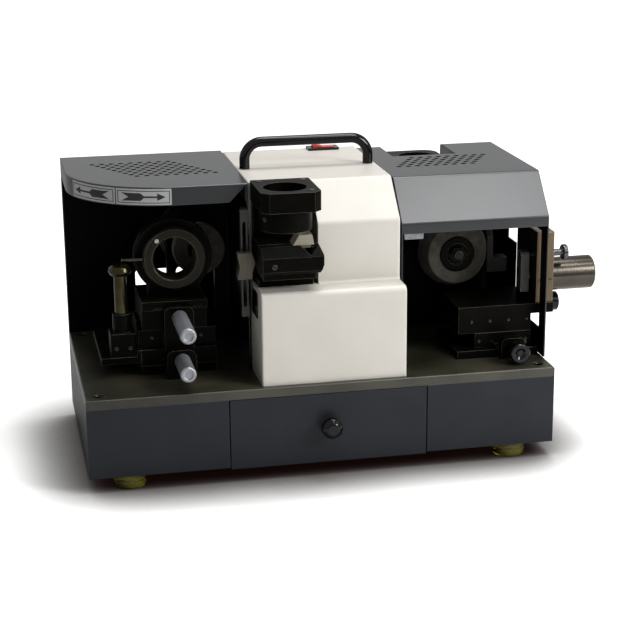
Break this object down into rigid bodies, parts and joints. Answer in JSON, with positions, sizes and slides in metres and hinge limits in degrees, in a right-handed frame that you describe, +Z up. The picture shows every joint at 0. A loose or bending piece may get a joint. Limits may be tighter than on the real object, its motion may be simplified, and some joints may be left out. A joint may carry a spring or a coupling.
{
  "type": "drill bit sharpener",
  "caption": "Bench sharpener for drills and end mills: two hooded grinding bays with chuck holders and feed slides, a stepped centre cover, carry handle and base drawer.",
  "frame": {"origin": "on the floor under the middle of the overall length and depth", "axes": "+X to the right, along the base; +Y to the back; +Z up"},
  "size_m": [0.5158, 0.2466, 0.3036],
  "materials": {
    "cabinet_paint": "satin powder coat, charcoal",
    "deck_black": "satin black oxide deck",
    "hood_grey": "fine-textured dark grey powder coat",
    "cover_white": "smooth warm white powder coat",
    "black_oxide": "blackened steel, oiled",
    "bright_steel": "satin turned steel",
    "satin_aluminium": "bead-blasted aluminium",
    "tan_steel": "ground steel with a warm oil film",
    "brass": "polished brass",
    "gloss_black": "glossy black moulding",
    "rocker_red": "glossy red moulding",
    "foot_urethane": "translucent yellow cast polyurethane",
    "motor_grey": "dark enamel",
    "abrasive_grey": "bonded abrasive face on a steel body",
    "core_iron": "varnished laminations",
    "gauge_pale": "pale ground plate",
    "zinc_steel": "zinc-plated sheet"
  },
  "bodies": {
    "machine": {"base_cabinet": "cabinet_paint", "deck_plate": "deck_black", "deck_screws": "black_oxide", "feet": "foot_urethane", "drawer_runners": "zinc_steel", "center_cover": "cover_white", "carry_handle": "gloss_black", "switch_housing": "gloss_black", "power_inlet": "gloss_black", "power_supply": "core_iron", "left_hood": "hood_grey", "right_hood": "hood_grey", "left_motor_plate": "black_oxide", "right_motor_plate": "black_oxide", "left_motor": "motor_grey", "right_motor": "motor_grey", "left_bed": "black_oxide", "setting_bracket": "black_oxide", "setting_head": "black_oxide", "setting_jaw": "black_oxide", "stop_bar": "black_oxide", "rear_setting_block": "black_oxide", "right_bed": "black_oxide", "dresser_bar": "black_oxide"},
    "drawer": {"drawer_front": "cabinet_paint", "drawer_tray": "zinc_steel", "drawer_knob": "gloss_black"},
    "rocker": {"switch_rocker": "rocker_red"},
    "left_grinder": {"left_spindle": "black_oxide", "left_wheel": "abrasive_grey", "left_wheel_nut": "black_oxide"},
    "right_grinder": {"right_spindle": "black_oxide", "right_wheel": "abrasive_grey", "right_wheel_nut": "black_oxide"},
    "left_feed": {"left_feed_slide": "black_oxide", "post_plate": "black_oxide", "cross_base": "black_oxide", "post_block": "black_oxide"},
    "left_feed_handle": {"left_feed_thimble": "satin_aluminium"},
    "left_cross": {"cross_slide": "black_oxide", "cross_rack": "black_oxide", "seat_bracket": "black_oxide"},
    "left_cross_handle": {"cross_pinion": "black_oxide", "cross_handle": "satin_aluminium"},
    "chuck_holder": {"chuck_ring": "black_oxide", "ring_stop_rod": "bright_steel"},
    "height_stop": {"stop_post": "black_oxide"},
    "gauge": {"gauge_wedge": "gauge_pale"},
    "length_stop": {"stop_block": "tan_steel"},
    "right_feed": {"right_feed_slide": "black_oxide"},
    "right_feed_handle": {"right_feed_screw": "bright_steel", "right_feed_knob": "gloss_black"},
    "right_table": {"cross_table": "black_oxide", "chuck_plates": "tan_steel", "chuck_tube": "bright_steel"},
    "right_table_handle": {"table_screw": "bright_steel", "table_knob": "gloss_black"},
    "latch": {"latch_knob": "gloss_black", "latch_lever": "black_oxide", "latch_ball": "brass"}
  },
  "joints": [
    {"name": "drawer_travel", "type": "slide", "parent": "machine", "child": "drawer", "axis": [0, -1, 0], "range_m": [0, 0.14]},
    {"name": "switch_rock", "type": "hinge", "parent": "machine", "child": "rocker", "pos_m": [0.0101, 0.11025, 0.2752], "axis": [0, 1, 0], "range_deg": [-18, 0]},
    {"name": "left_wheel_spin", "type": "hinge", "parent": "machine", "child": "left_grinder", "pos_m": [-0.1329, 0.00775, 0.196], "axis": [0, 1, 0], "continuous": true},
    {"name": "right_wheel_spin", "type": "hinge", "parent": "machine", "child": "right_grinder", "pos_m": [0.1261, 0.00775, 0.1793], "axis": [0, 1, 0], "continuous": true},
    {"name": "left_feed_travel", "type": "slide", "parent": "machine", "child": "left_feed", "axis": [0, 1, 0], "range_m": [0, 0.012]},
    {"name": "left_feed_turn", "type": "hinge", "parent": "machine", "child": "left_feed_handle", "pos_m": [-0.1629, 0.00775, 0.1105], "axis": [0, 1, 0], "range_deg": [-1, 2161]},
    {"name": "left_cross_travel", "type": "slide", "parent": "left_feed", "child": "left_cross", "axis": [1, 0, 0], "range_m": [-0.008, 0.008]},
    {"name": "left_cross_turn", "type": "hinge", "parent": "left_feed", "child": "left_cross_handle", "pos_m": [-0.1629, 0.00775, 0.1495], "axis": [0, 1, 0], "range_deg": [-77, 77]},
    {"name": "chuck_swing", "type": "hinge", "parent": "left_cross", "child": "chuck_holder", "pos_m": [-0.1629, 0.00775, 0.2005], "axis": [0, 1, 0], "range_deg": [0, 60]},
    {"name": "height_stop_travel", "type": "slide", "parent": "left_feed", "child": "height_stop", "axis": [0, 0, 1], "range_m": [-0.008, 0]},
    {"name": "gauge_travel", "type": "slide", "parent": "machine", "child": "gauge", "axis": [1, 0, 0], "range_m": [-0.012, 0.004]},
    {"name": "length_stop_travel", "type": "slide", "parent": "machine", "child": "length_stop", "axis": [0, 0, 1], "range_m": [-0.005, 0.03]},
    {"name": "right_feed_travel", "type": "slide", "parent": "machine", "child": "right_feed", "axis": [0, 1, 0], "range_m": [0, 0.008]},
    {"name": "right_feed_turn", "type": "hinge", "parent": "machine", "child": "right_feed_handle", "pos_m": [0.1611, 0.00775, 0.103], "axis": [0, 1, 0], "range_deg": [-1, 1441]},
    {"name": "right_table_travel", "type": "slide", "parent": "right_feed", "child": "right_table", "axis": [1, 0, 0], "range_m": [-0.01, 0.005]},
    {"name": "right_table_turn", "type": "hinge", "parent": "right_table", "child": "right_table_handle", "pos_m": [-0.0329, -0.01225, 0.13], "axis": [1, 0, 0], "range_deg": [-1801, 901]},
    {"name": "latch_turn", "type": "hinge", "parent": "right_table", "child": "latch", "pos_m": [-0.0329, -0.03725, 0.187], "axis": [1, 0, 0], "range_deg": [-30, 30]}
  ],
  "couplings": [
    {"joint": "left_feed_turn", "follows": "left_feed_travel", "rad_per_m": 3141.6},
    {"joint": "left_cross_turn", "follows": "left_cross_travel", "rad_per_m": 166.67},
    {"joint": "right_feed_turn", "follows": "right_feed_travel", "rad_per_m": 3141.6},
    {"joint": "right_table_turn", "follows": "right_table_travel", "rad_per_m": 3141.6}
  ]
}
